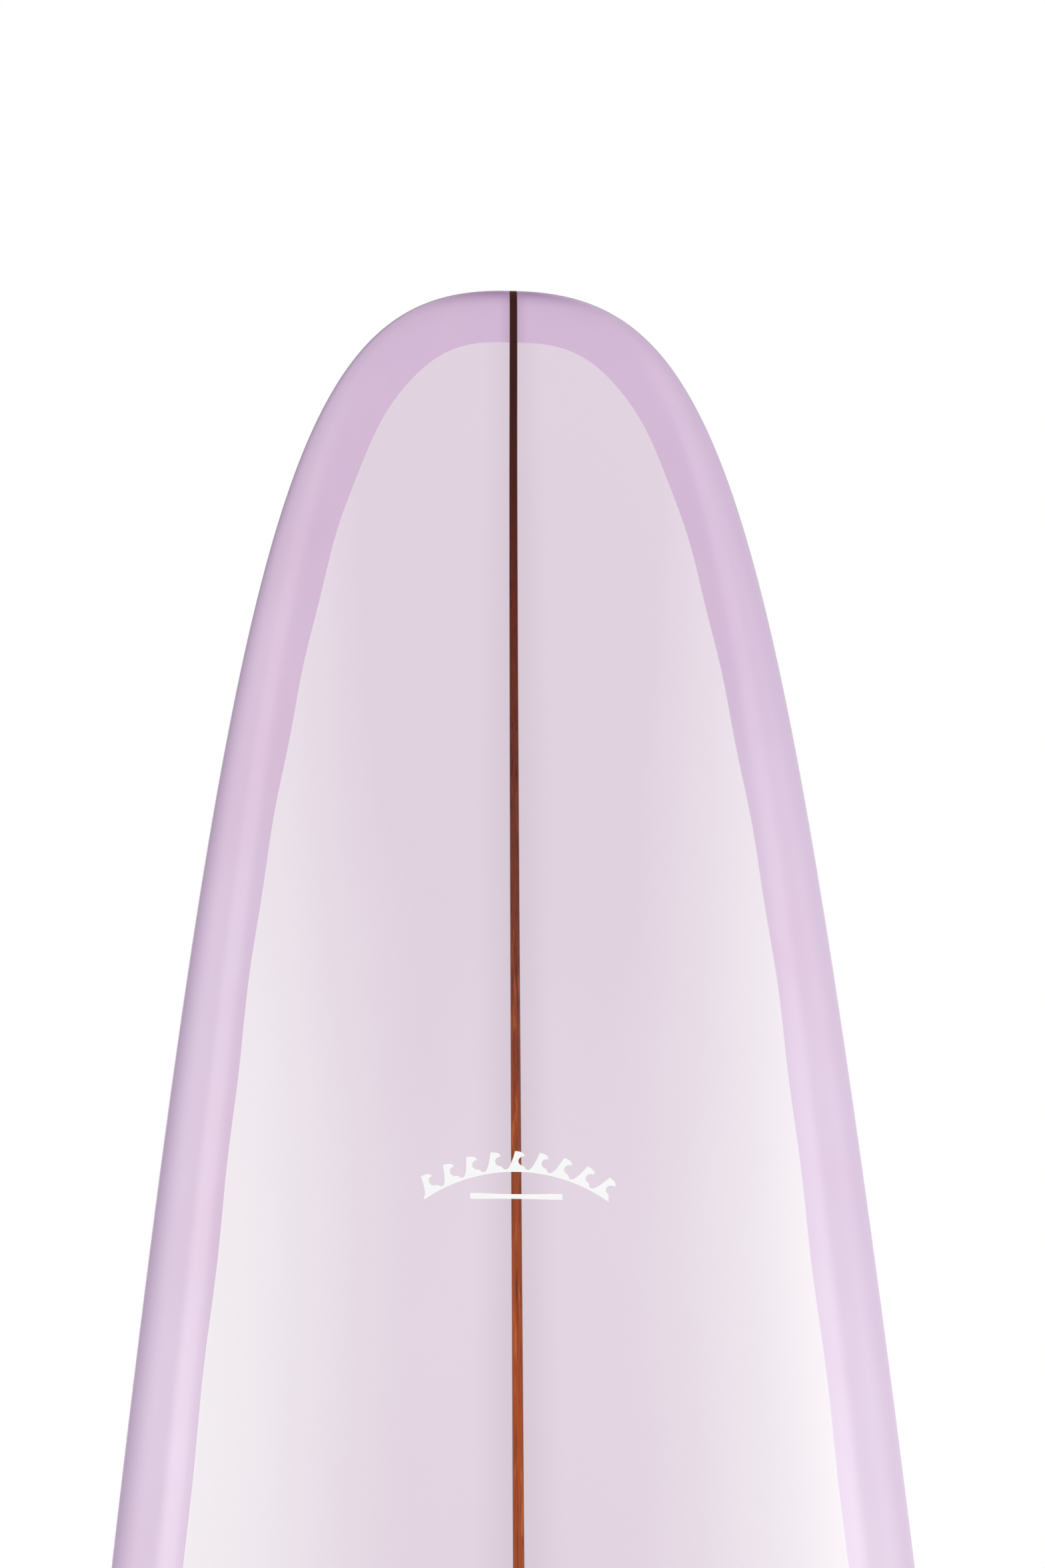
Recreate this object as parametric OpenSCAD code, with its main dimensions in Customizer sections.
// Longboard surfboard, standing on its tail end: nose up, deck to the front.
// +Z runs from tail to nose, the deck faces -Y, the bottom and the fin are on the +Y side.
// The origin is on the centreline of the bottom's flat spot, half way along the board.

/* [Board] */
// length from tail tip to nose tip
board_length = 2870; // [2400:10:3200]
// greatest width
board_width = 581; // [500:1:620]
// greatest thickness, glass included
board_thickness = 73; // [60:1:80]
// height of the widest point above mid length
wide_point = -100; // [-200:10:200]
// how far the nose outline's first handle reaches sideways: a larger value gives a blunter nose
nose_bluntness = 205; // [160:1:230]
// how far the nose outline's second handle reaches up from the widest point
nose_fullness = 1330; // [1150:5:1380]
// how far the tail outline's first handle reaches sideways
tail_bluntness = 130; // [90:1:170]
// how far the tail outline's second handle reaches down from the widest point
tail_fullness = 950; // [850:5:1050]

/* [Rocker and thickness] */
// how far the nose tip curves up off the flat of the bottom
nose_rocker = 103; // [80:1:150]
// angle of the straight run of bottom that carries the fin
tail_angle = 5; // [4:0.5:6]
// extra lift of the last part of the tail
tail_kick = 16.5; // [5:0.5:25]
// half length of the flat spot in the middle of the bottom
flat_half = 300; // [200:10:300]
// share of the middle thickness that is gone at the nose end
nose_thinning = 0.67; // [0.5:0.01:0.7]
// share of the middle thickness that is gone at the tail end
tail_thinning = 0.5; // [0.4:0.01:0.55]
// height of the rail's outermost line as a share of the thickness
rail_height = 0.42; // [0.3:0.01:0.5]
// share of the deck's fall that happens in the round of the rail
deck_roundness = 0.55; // [0.4:0.01:0.7]

/* [Layers] */
// thickness of the clear outer coat on the deck and on the bottom
clear_coat = 0.6; // [0.5:0.1:1]
// thickness of the tinted glass under it
tinted_glass = 0.8; // [0.5:0.1:1.5]
// how far each glass laps round the rail onto the other side
lap_width = 55; // [40:1:60]
// how much wider that lap is at the nose tip
lap_nose_extra = 25; // [0:1:30]
// thickness of the wooden stringer
stringer_width = 7; // [4:0.5:12]
// thickness of the glue on each side of the stringer
glue_width = 0.5; // [0.3:0.1:1]

/* [Emblem] */
// height of the top of the arc that the emblem's wave crests stand on
emblem_z = 449; // [300:1:700]
// radius of that arc
emblem_radius = 118; // [100:1:300]
// half angle from the middle crest to the last one
emblem_half_angle = 33; // [15:1:40]
// number of wave crests
crests = 9; // [5:2:13]
// height of each crest
crest_height = 17.5; // [10:0.5:25]
// thickness of the line under the crests
emblem_line = 2; // [1:0.5:4]
// length of the short bar under the arc
emblem_bar_length = 72; // [40:1:100]
// height of the short bar
emblem_bar_height = 5; // [3:0.5:8]
// how far the bar lies below the top of the arc
emblem_bar_drop = 21; // [15:1:40]

/* [Fin box] */
// height of the middle of the fin box
fin_box_z = -1130; // [-1140:5:-1120]
// length of the box's flange
box_flange_length = 272; // [270:1:275]
// width of the box's flange
box_flange_width = 27; // [26:0.5:30]
// thickness of the flange
box_flange_depth = 2; // [1.5:0.1:3]
// length of the box's body
box_length = 265; // [260:1:268]
// radius of the flange's corners
flange_corner = 5; // [3:0.5:6]
// width of the box's body
box_width = 22; // [20:0.5:24]
// depth of the box's body below the bottom surface
box_depth = 26; // [24:0.5:28]
// length of the slot
slot_length = 254; // [240:1:256]
// width of the slot between its lips
slot_width = 9.8; // [9.6:0.1:10.4]
// depth of the slot
slot_depth = 20.5; // [19:0.5:22]
// width across the channel under the lips
channel_width = 14.8; // [13:0.1:16]
// depth of the top of the channel
channel_top = 8.4; // [7:0.1:9]
// depth of the bottom of the channel
channel_floor = 13.4; // [13:0.1:14]
// length of the gap in the lips where the plate drops in
notch_length = 15; // [14:0.5:18]
// thickness of resin round the box and round the leash plug
resin_gap = 1.5; // [1:0.1:2.5]
// half length of the oval glass patch over the fin box
patch_half_length = 190; // [160:5:220]
// half width of that patch
patch_half_width = 60; // [40:5:80]

/* [Fin] */
// height of the fin off the bottom
fin_height = 248; // [200:1:280]
// length of the fin's base from its rear end to the tip of its toe
fin_base_length = 190; // [180:1:195]
// length of the toe that the screw goes through
toe_length = 23; // [20:1:26]
// thickness of the fin's base
fin_thickness = 9.2; // [9:0.1:9.4]
// depth of the fin's base in the slot
fin_base_depth = 17.5; // [16:0.5:18.5]
// how far the fin's tip lies behind the middle of its base
fin_rake = 158; // [100:1:200]
// length of the blade just below the rounding of its tip
fin_tip_length = 46; // [30:1:70]
// diameter of the cross pin
pin_d = 3.2; // [3:0.1:4]
// length of the cross pin
pin_length = 13.8; // [13:0.1:14]
// depth of the cross pin's centre
pin_depth = 10.9; // [10.5:0.1:11.2]
// distance of the pin from the rear end of the base
pin_inset = 8; // [6:0.5:12]

/* [Fin screw and plate] */
// depth of the toe's upper face
toe_top = 3.6; // [3:0.1:4]
// depth of the toe's lower face
toe_bottom = 8; // [7.5:0.1:8.2]
// distance of the screw from the tip of the toe
screw_inset = 11; // [9:0.5:13]
// diameter of the screw's shank
screw_d = 4.1; // [3.8:0.1:4.2]
// length of the shank
screw_length = 15; // [13:0.5:15.5]
// diameter of the screw's head
head_d = 8; // [7:0.1:9]
// thickness of the head
head_depth = 2.6; // [2:0.1:3]
// play round the shank in the toe and in the plate
screw_play = 0.06; // [0.05:0.01:0.1]
// length of the plate along the slot
plate_length = 12.7; // [10:0.1:14]
// width of the plate
plate_width = 13.9; // [13:0.1:14]
// thickness of the plate
plate_thickness = 3.2; // [2.5:0.1:3.5]
// depth of the plate's upper face
plate_top = 8.8; // [8.7:0.1:9]

/* [Leash plug] */
// height of the leash plug
plug_z = -1292; // [-1310:1:-1285]
// distance of the plug from the centreline
plug_x = 27; // [20:1:40]
// outer diameter of the cup
cup_d = 25; // [22:0.5:30]
// inner diameter of the cup
cup_bore = 20; // [18:0.5:24]
// depth of the cup from the deck
cup_depth = 20; // [16:0.5:22]
// thickness of the cup's floor
cup_floor = 2; // [1.5:0.1:3]
// diameter of the bar across the cup
bar_d = 3; // [2.5:0.1:4]
// depth of the bar's centre
bar_depth = 4.5; // [4:0.1:6]
// how far each end of the bar goes into the cup's wall
bar_seat = 1.5; // [1:0.1:2]

/* [Hidden] */
$fn = 64;

// outline and its control points
tip_z = board_length / 2;
half_width = board_width / 2;
x_s = stringer_width / 2 + glue_width;
nose_curve = [
    [x_s, tip_z],
    [x_s + nose_bluntness, tip_z],
    [half_width, wide_point + nose_fullness],
    [half_width, wide_point]
];
tail_curve = [
    [half_width, wide_point],
    [half_width, wide_point - tail_fullness],
    [x_s + tail_bluntness, -tip_z],
    [x_s, -tip_z]
];
// how far the ribs lean at each end, and how soon that dies away
nose_drop = 240;
nose_decay = 275;
tail_drop = 120;
tail_decay = 160;
// how soon the extra width of the lap dies away from the nose
lap_decay = 320;
// rows of ribs along each curve
nose_rows = 24;
tail_rows = 20;
rows = nose_rows + tail_rows;
// columns across each rib: from the bottom's middle round the rail to the deck's middle
rail_steps = 5;
flat_steps = [0.16, 0.5, 1];
deck_steps = [0.2, 0.5, 1];
rail_col = len(flat_steps) + rail_steps;
last_col = 2 * rail_col;
bottom_lap_col = len(flat_steps);
deck_lap_col = last_col - len(deck_steps);
// depths of the layers
outer = 0;
mid = clear_coat;
core = clear_coat + tinted_glass;
patch_level = clear_coat / 2;
over = 1;
// tail rocker: where the bend ends and where the kick begins, from the end of the flat spot
bend_length = 680;
kick_start = 980;

function between(a, b, t) = a + (b - a) * t;
function cubic(p, t) =
    pow(1 - t, 3) * p[0] + 3 * t * pow(1 - t, 2) * p[1]
    + 3 * t * t * (1 - t) * p[2] + pow(t, 3) * p[3];
function quarter_round(v) = sqrt(1 - pow(1 - min(1, v), 2));

// height of the bottom above its flat spot
function nose_lift(z) =
    nose_rocker * pow(max(0, z - flat_half) / (tip_z - flat_half), 2.5);
function tail_bend(d, u) =
    tan(tail_angle) * (bend_length * (pow(u, 3) - pow(u, 4) / 2) + max(0, d - bend_length));
function tail_lift(z) =
    let (d = max(0, -z - flat_half))
    tail_bend(d, min(1, d / bend_length))
    + tail_kick * pow(max(0, d - kick_start) / (tip_z - flat_half - kick_start), 3);
function lift(z) = nose_lift(z) + tail_lift(z);
function thickness_at(z) =
    board_thickness * (1 - (z > 0 ? nose_thinning : tail_thinning) * pow(abs(z) / tip_z, 3));

// the outline point of each row, and the centre point that its rib runs to
function outline(i) =
    i <= nose_rows ? cubic(nose_curve, i / nose_rows)
    : cubic(tail_curve, (i - nose_rows) / tail_rows);
function lean(z) =
    nose_drop * exp(-(tip_z - z) / nose_decay) - tail_drop * exp(-(z + tip_z) / tail_decay);
edge_points = [for (i = [0:rows]) outline(i)];
spine_points = [for (p = edge_points) [x_s, p[1] - lean(p[1])]];
rib_lengths = [for (i = [0:rows]) norm(edge_points[i] - spine_points[i])];

// distance in from the rail for each column of a rib
function lap_at(z) = lap_width + lap_nose_extra * exp(-(tip_z - z) / lap_decay);
function column_in(j, run, lap_in) =
    let (k = abs(j - rail_col), lap = min(lap_in, run * 0.9))
    let (wide = j < rail_col ? flat_steps : deck_steps)
    k <= rail_steps ? lap * (1 - cos(90 * k / rail_steps))
    : between(lap, run, wide[k - rail_steps - 1]);
// height of the section at a distance in from the rail
function deck_height(u, t) =
    t * (rail_height + (1 - rail_height)
    * (deck_roundness * quarter_round(u / 0.2) + (1 - deck_roundness) * (1 - pow(1 - u, 2))));
function bottom_height(u, t) = t * rail_height * (1 - quarter_round(u / 0.3));
function section_point(i, j) =
    let (run = rib_lengths[i], w = column_in(j, run, lap_at(edge_points[i][1])))
    let (t = thickness_at(spine_points[i][1]))
    [w, j < rail_col ? bottom_height(w / run, t) : deck_height(w / run, t)];
sections = [for (i = [0:rows]) [for (j = [0:last_col]) section_point(i, j)]];
function unit(v) = v / norm(v);
function inward(s, j) =
    j == 0 ? [0, 1]
    : j == last_col ? [0, -1]
    : let (v = unit(s[j + 1] - s[j - 1])) [v[1], -v[0]];
function shifted(i, j, depth) = sections[i][j] + depth * inward(sections[i], j);

// a point of the board: side is -1 for port and 1 for starboard
function board_point(side, i, s) =
    let (q = between(edge_points[i], spine_points[i], s[0] / rib_lengths[i]))
    [side * q[0], -s[1] - lift(q[1]), q[1]];
function half_points(side, depth) =
    [for (i = [0:rows]) for (j = [0:last_col]) board_point(side, i, shifted(i, j, depth))];
function ring_row(m) = m <= rows ? rows - m : m - rows - 1;
function ring_side(m) = m <= rows ? -1 : 1;
function ring_points(depth) =
    [for (m = [0:2 * rows + 1]) for (j = [0:last_col])
        board_point(ring_side(m), ring_row(m), shifted(ring_row(m), j, depth))];

// faces of a closed ring of ribs, between two columns, with the middle strips that close it
ring_count = 2 * rows + 2;
cols = last_col + 1;
function at(m, j, base) = base + (m % ring_count) * cols + j;
function quad(a, b, c, d) = [[a, b, c], [a, c, d]];
function flip(faces) = [for (f = faces) [f[2], f[1], f[0]]];
// the port side's quads are cut along their other diagonal, so the two sides mirror each other
function sheet_faces(j0, j1, base) =
    [for (m = [0:ring_count - 1]) for (j = [j0:j1 - 1])
        let (a = at(m, j, base), b = at(m, j + 1, base))
        let (c = at(m + 1, j + 1, base), d = at(m + 1, j, base))
        each m < rows ? quad(b, c, d, a) : quad(a, b, c, d)];
function port(k, j, base) = at(rows - k, j, base);
function starboard(k, j, base) = at(rows + 1 + k, j, base);
function strip_faces(j, base) =
    [for (k = [0:rows - 1])
        each quad(port(k, j, base), starboard(k, j, base),
            starboard(k + 1, j, base), port(k + 1, j, base))];
function rim_faces(j, a, b) =
    [for (m = [0:ring_count - 1]) each quad(at(m, j, a), at(m + 1, j, a), at(m + 1, j, b), at(m, j, b))];

// a closed skin between two depths that covers the columns from j0 to j1
module skin(outside, inside, j0, j1) {
    lower = ring_count * cols;
    polyhedron(
        points = concat(ring_points(outside), ring_points(inside)),
        faces = flip(concat(
            sheet_faces(j0, j1, 0),
            flip(sheet_faces(j0, j1, lower)),
            j0 == 0 ? strip_faces(0, 0) : rim_faces(j0, 0, lower),
            j0 == 0 ? flip(strip_faces(0, lower)) : [],
            j1 == last_col ? flip(strip_faces(last_col, 0)) : flip(rim_faces(j1, 0, lower)),
            j1 == last_col ? strip_faces(last_col, lower) : []
        )),
        convexity = 8
    );
}

// one half of the foam core, flat on the stringer's side
function wall_end(i) =
    let (apex = i * cols + rail_col)
    concat(
        [[apex, apex - 1, apex + 1]],
        [for (k = [1:rail_col - 1]) each quad(apex - k, apex - k - 1, apex + k + 1, apex + k)]
    );
function wall_side() =
    [for (i = [0:rows - 1])
        each quad(i * cols, (i + 1) * cols, (i + 1) * cols + last_col, i * cols + last_col)];
function half_sheet() =
    [for (i = [0:rows - 1]) for (j = [0:last_col - 1])
        each quad(i * cols + j, i * cols + j + 1, (i + 1) * cols + j + 1, (i + 1) * cols + j)];
module foam_half(side) {
    faces = concat(half_sheet(), wall_end(0), flip(wall_end(rows)), wall_side());
    polyhedron(
        points = half_points(side, core),
        faces = side > 0 ? flip(faces) : faces,
        convexity = 8
    );
}

// the board's middle section, as a plate of a given width that starts at x
function middle_outline() =
    let (p = half_points(1, core))
    concat(
        [for (i = [rows:-1:0]) p[i * cols]],
        [for (j = [1:last_col]) p[j]],
        [for (i = [1:rows]) p[i * cols + last_col]],
        [for (j = [last_col - 1:-1:1]) p[rows * cols + j]]
    );
module middle_plate(x, width) {
    translate([x, 0, 0])
        rotate([90, 0, 90])
            linear_extrude(height = width)
                polygon([for (q = middle_outline()) [q[1], q[2]]]);
}

// frame of the fin box: Y points out of the bottom, Z along the slot to the nose
module at_fin_box() {
    translate([0, -lift(fin_box_z), fin_box_z])
        rotate([-tail_angle, 0, 0])
            children();
}
// a block given by its width, its top and bottom depths, and its ends along the slot
module block(width, top, bottom, z0, z1) {
    translate([-width / 2, -bottom, z0])
        cube([width, bottom - top, z1 - z0]);
}
module centred_block(width, length, top, bottom) {
    block(width, top, bottom, -length / 2, length / 2);
}
// a block with four upright corners rounded
module rounded_block(width, length, top, bottom, corner) {
    centred_block(width - 2 * corner, length, top, bottom);
    centred_block(width, length - 2 * corner, top, bottom);
    for (x = [-1, 1], z = [-1, 1])
        translate([x * (width / 2 - corner), -bottom, z * (length / 2 - corner)])
            rotate([-90, 0, 0])
                cylinder(h = bottom - top, r = corner);
}
module fin_box_body() {
    rounded_block(box_flange_width, box_flange_length, 0, box_flange_depth, flange_corner);
    centred_block(box_width, box_length, box_flange_depth / 2, box_depth);
}
module fin_box_bed(top) {
    rounded_block(box_flange_width + 2 * resin_gap, box_flange_length + 2 * resin_gap,
        top, box_depth + resin_gap, flange_corner + resin_gap);
}
module fin_box_pocket() {
    at_fin_box()
        fin_box_bed(-over);
}

// frame of the leash plug: Z points out of the deck
function deck_y(z) = -(lift(z) + thickness_at(z));
deck_slope = atan((deck_y(plug_z + 5) - deck_y(plug_z - 5)) / 10);
module at_plug() {
    translate([plug_x, deck_y(plug_z), plug_z])
        rotate([90 - deck_slope, 0, 0])
            children();
}
module plug_pocket() {
    at_plug()
        translate([0, 0, -cup_depth - resin_gap])
            cylinder(h = cup_depth + resin_gap + over, d = cup_d + 2 * resin_gap);
}

module foam_port() {
    color([0.95, 0.94, 0.88])
        difference() {
            foam_half(-1);
            fin_box_pocket();
        }
}
module foam_starboard() {
    color([0.95, 0.94, 0.88])
        difference() {
            foam_half(1);
            fin_box_pocket();
            plug_pocket();
        }
}
module stringer() {
    color([0.42, 0.18, 0.13])
        difference() {
            middle_plate(-stringer_width / 2, stringer_width);
            fin_box_pocket();
        }
}
module glue_line_port() {
    color([0.3, 0.14, 0.1])
        difference() {
            middle_plate(-x_s, glue_width);
            fin_box_pocket();
        }
}
module glue_line_starboard() {
    color([0.3, 0.14, 0.1])
        difference() {
            middle_plate(stringer_width / 2, glue_width);
            fin_box_pocket();
        }
}
module bottom_glass() {
    color([0.76, 0.66, 0.77])
        difference() {
            skin(mid, core, 0, deck_lap_col);
            fin_box_pocket();
        }
}
module patch_area(outside, inside) {
    intersection() {
        skin(outside, inside, 0, bottom_lap_col);
        translate([0, 0, fin_box_z])
            rotate([-90, 0, 0])
                translate([0, 0, -board_length / 4])
                    linear_extrude(height = board_length / 2)
                        scale([patch_half_width, patch_half_length])
                            circle(r = 1);
    }
}
module fin_box_patch() {
    color([0.86, 0.82, 0.88])
        difference() {
            patch_area(patch_level, mid);
            fin_box_pocket();
        }
}
module bottom_hot_coat() {
    color([0.9, 0.88, 0.92, 0.3])
        difference() {
            skin(outer, mid, 0, bottom_lap_col);
            patch_area(patch_level, mid + over);
            fin_box_pocket();
        }
}
// an arc of wave crests over a short bar, in the plane of the deck
function turned(p, a) = [p[0] * cos(a) - p[1] * sin(a), p[0] * sin(a) + p[1] * cos(a)];
function crest_path(h) = concat(
    [for (k = [0:8]) h * [-0.45 + 0.05 * k, 0.92 * pow(k / 8, 1.8)]],
    [for (k = [1:6]) h * [-0.05 + 0.42 * sin(15 * k), 0.92 - 0.2 * (1 - cos(15 * k))]],
    [for (k = [0:7]) h * [0.34 + 0.24 * cos(80 + 27 * k), 0.42 + 0.24 * sin(80 + 27 * k)]],
    [h * [0.45, 0]]
);
function crest_turn(n) = between(-emblem_half_angle, emblem_half_angle, n / (crests - 1));
function placed_crest(n) =
    let (path = crest_path(crest_height))
    [for (k = [len(path) - 1:-1:0])
        turned(path[k] + [0, emblem_radius + emblem_line], crest_turn(n))];
module emblem_shape() {
    span = emblem_half_angle + 4.5;
    translate([0, -emblem_radius])
        polygon(concat(
            [for (k = [12:-1:-12]) turned([0, emblem_radius], span * k / 12)],
            [for (n = [0:crests - 1]) each placed_crest(n)]
        ));
    translate([0, -emblem_bar_drop])
        square([emblem_bar_length, emblem_bar_height], center = true);
}
module emblem_cutter() {
    translate([0, 0, emblem_z])
        rotate([90, 0, 0])
            linear_extrude(height = board_thickness + over)
                emblem_shape();
}
module deck_inlay() {
    color([0.87, 0.83, 0.88, 0.6])
        difference() {
            skin(mid, core, deck_lap_col, last_col);
            emblem_cutter();
            plug_pocket();
        }
}
module deck_emblem() {
    color([0.94, 0.94, 0.94])
        intersection() {
            skin(mid, core, deck_lap_col, last_col);
            emblem_cutter();
        }
}
module deck_glass() {
    color([0.92, 0.9, 0.94, 0.3])
        difference() {
            skin(outer, mid, bottom_lap_col, last_col);
            plug_pocket();
        }
}
module fin_box() {
    color([0.9, 0.9, 0.88])
        at_fin_box()
            difference() {
                fin_box_body();
                centred_block(slot_width, slot_length, -over, slot_depth);
                centred_block(channel_width, slot_length, channel_top, channel_floor);
                centred_block(channel_width, notch_length, -over, channel_floor);
            }
}
module fin_box_resin_bed() {
    color([0.85, 0.8, 0.86])
        at_fin_box()
            difference() {
                fin_box_bed(0);
                fin_box_body();
            }
}

// the fin's blade as a stack of foiled sections
fin_half = fin_base_length / 2;
blade_front = fin_half - toe_length;
blade_rows = 16;
foil_steps = 9;
blade_root = -2;
fin_tip_round = 5;
function blade_height(k) = between(blade_root, fin_height, sin(90 * k / blade_rows));
function blade_share(k) = max(0, blade_height(k)) / fin_height;
function blade_chord(s) =
    max(fin_tip_round, between(blade_front + fin_half, fin_tip_length, pow(s, 0.9)) * sqrt(1 - pow(s, 10)));
function blade_lead(s) =
    (blade_front - fin_half) / 2 - fin_rake * pow(s, 1.6) + blade_chord(s) / 2;
function foil(t) = 1.48 * sqrt(t) - 0.63 * t - 1.758 * t * t + 1.4215 * pow(t, 3) - 0.4 * pow(t, 4);
module fin_blade() {
    ring = 2 * foil_steps;
    points = [for (k = [0:blade_rows]) for (n = [0:ring - 1])
        let (s = blade_share(k), side = n < foil_steps ? 1 : -1)
        let (t = n < foil_steps ? n / foil_steps : (ring - n) / foil_steps)
        let (lead = blade_lead(s), chord = blade_chord(s))
        let (half = fin_thickness / 2 * (1 - 0.62 * s))
        [side * half * min(1, max(0.12, 2 * foil(t * t))), blade_height(k), lead - chord * t * t]];
    faces = concat(
        [for (k = [0:blade_rows - 1]) for (n = [0:ring - 1])
            each quad(k * ring + n, k * ring + (n + 1) % ring,
                (k + 1) * ring + (n + 1) % ring, (k + 1) * ring + n)],
        [for (n = [1:ring - 2]) [0, n + 1, n]],
        [for (n = [1:ring - 2]) [0, n, n + 1] + blade_rows * ring * [1, 1, 1]]
    );
    polyhedron(points = points, faces = flip(faces), convexity = 4);
}
screw_z = fin_half - screw_inset;
pin_z = -fin_half + pin_inset;
module fin() {
    color([0.93, 0.93, 0.92])
        at_fin_box()
            difference() {
                union() {
                    block(fin_thickness, 0, fin_base_depth, -fin_half, blade_front);
                    block(fin_thickness, toe_top, toe_bottom, blade_front - over, fin_half);
                    fin_blade();
                }
                translate([0, 0, screw_z])
                    rotate([-90, 0, 0])
                        translate([0, 0, -fin_base_depth])
                            cylinder(h = fin_base_depth, d = screw_d + 2 * screw_play);
                translate([0, -pin_depth, pin_z])
                    rotate([0, 90, 0])
                        cylinder(h = fin_thickness + 2 * over, d = pin_d, center = true);
            }
}
module fin_cross_pin() {
    color([0.72, 0.58, 0.3])
        at_fin_box()
            translate([0, -pin_depth, pin_z])
                rotate([0, 90, 0])
                    cylinder(h = pin_length, d = pin_d, center = true);
}
module fin_screw() {
    color([0.75, 0.75, 0.76])
        at_fin_box()
            translate([0, -toe_top + 0.1, screw_z])
                rotate([-90, 0, 0]) {
                    translate([0, 0, -screw_length])
                        cylinder(h = screw_length, d = screw_d);
                    difference() {
                        cylinder(h = head_depth, d = head_d);
                        translate([0, 0, head_depth])
                            cube([1, head_d + over, 2.4], center = true);
                    }
                }
}
module fin_plate() {
    color([0.72, 0.58, 0.3])
        at_fin_box()
            difference() {
                block(plate_width, plate_top, plate_top + plate_thickness,
                    screw_z - plate_length / 2, screw_z + plate_length / 2);
                translate([0, 0, screw_z])
                    rotate([-90, 0, 0])
                        translate([0, 0, -fin_base_depth])
                            cylinder(h = fin_base_depth, d = screw_d + 2 * screw_play);
            }
}
module leash_cup() {
    color([0.92, 0.92, 0.9])
        at_plug()
            difference() {
                translate([0, 0, -cup_depth])
                    cylinder(h = cup_depth, d = cup_d);
                translate([0, 0, -cup_depth + cup_floor])
                    cylinder(h = cup_depth, d = cup_bore);
                leash_bar_shape();
            }
}
module leash_bar_shape() {
    translate([0, 0, -bar_depth])
        rotate([0, 90, 0])
            cylinder(h = cup_bore + 2 * bar_seat, d = bar_d, center = true);
}
module leash_bar() {
    color([0.74, 0.74, 0.75])
        at_plug()
            leash_bar_shape();
}
module leash_plug_resin_bed() {
    color([0.85, 0.8, 0.86])
        at_plug()
            difference() {
                translate([0, 0, -cup_depth - resin_gap])
                    cylinder(h = cup_depth + resin_gap, d = cup_d + 2 * resin_gap);
                translate([0, 0, -cup_depth])
                    cylinder(h = cup_depth + over, d = cup_d);
            }
}

foam_port();
foam_starboard();
stringer();
glue_line_port();
glue_line_starboard();
bottom_glass();
bottom_hot_coat();
deck_inlay();
deck_emblem();
deck_glass();
fin_box();
fin_box_resin_bed();
fin_box_patch();
leash_cup();
leash_bar();
leash_plug_resin_bed();
fin();
fin_cross_pin();
fin_screw();
fin_plate();
